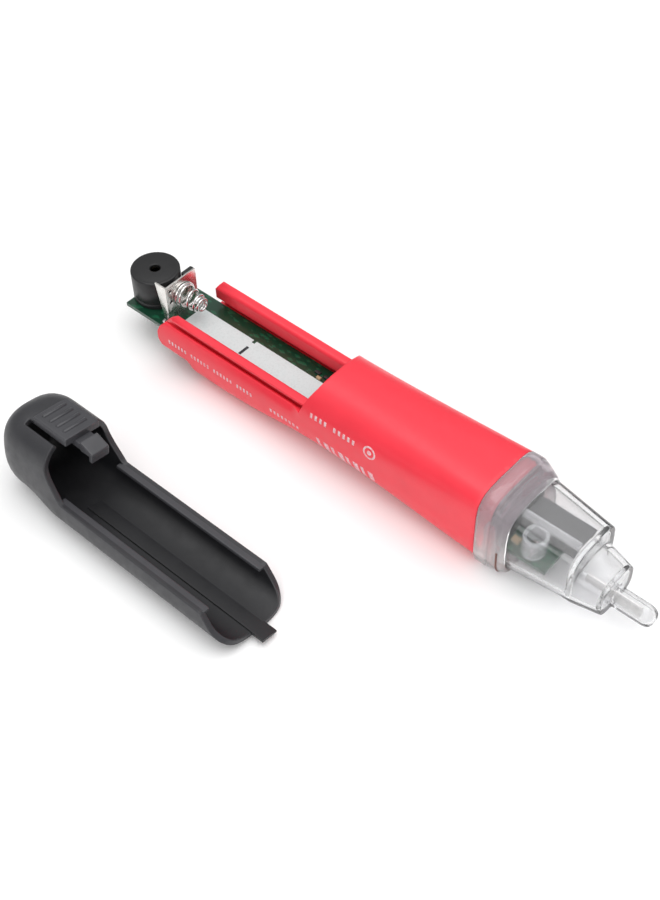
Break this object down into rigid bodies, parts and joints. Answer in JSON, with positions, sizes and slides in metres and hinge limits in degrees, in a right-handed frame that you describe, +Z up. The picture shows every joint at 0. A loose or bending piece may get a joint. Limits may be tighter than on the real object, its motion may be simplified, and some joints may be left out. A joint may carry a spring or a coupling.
{
  "type": "non contact voltage tester",
  "caption": "Pen-shaped non contact voltage tester lying with its battery bay open, and its loose sliding battery cover with a sprung latch lying beside it.",
  "frame": {"origin": "middle of the overall box, on the surface that the tester and its cover lie on", "axes": "+X along the tester towards the probe tongue, +Z up, battery bay facing up, loose cover on the -Y side"},
  "size_m": [0.1488, 0.071, 0.0227],
  "materials": {
    "red_shell": "satin",
    "clear": "clear polycarbonate",
    "seal": "matt",
    "board": "glossy solder mask",
    "white_ink": "printed",
    "black_ink": "printed",
    "buzzer_black": "satin",
    "black_resin": "matt",
    "brass_disc": "plain",
    "tinned": "tinned",
    "nickel": "nickel plated",
    "led_lens": "clear",
    "smoke_grey": "matt",
    "copper": "plain",
    "ceramic": "fired",
    "cover_grey": "satin, fine texture"
  },
  "bodies": {
    "tester": {"body_shell": "red_shell", "collar_ring": "clear", "seal_ring": "seal", "tip_lens": "clear", "circuit_board": "board", "silk_rear": "white_ink", "silk_front": "white_ink", "polarity_mark": "black_ink", "buzzer_case": "buzzer_black", "buzzer_base": "black_resin", "buzzer_disc": "brass_disc", "buzzer_pins": "tinned", "spring_bracket": "nickel", "battery_spring": "nickel", "front_contact": "nickel", "indicator_led": "led_lens", "led_leads": "tinned", "light_divider": "smoke_grey", "light_pipe": "clear", "sensor_plate": "copper", "sensor_lead": "tinned", "control_chip": "black_resin", "rear_transistor": "black_resin", "smd_resistors": "black_resin", "smd_capacitors": "ceramic", "solder_joints": "tinned", "board_screws": "tinned"},
    "spring_end": {"spring_cap": "nickel"},
    "cover": {"cover_shell": "cover_grey"},
    "latch": {"latch_flap": "cover_grey"}
  },
  "joints": [
    {"name": "cover_slide", "type": "slide", "parent": "tester", "child": "cover", "axis": [-1, 0, 0], "range_m": [0, 0.095]},
    {"name": "latch_flex", "type": "hinge", "parent": "cover", "child": "latch", "pos_m": [-0.0495, -0.02349, 0.02047], "axis": [0, -0.9893, 0.1461], "range_deg": [0, 6], "stiffness_Nm_per_rad": 0.05},
    {"name": "spring_press", "type": "slide", "parent": "tester", "child": "spring_end", "axis": [-1, 0, 0], "range_m": [0, 0.0035], "stiffness_N_per_m": 250, "deforming": ["battery_spring"]}
  ]
}
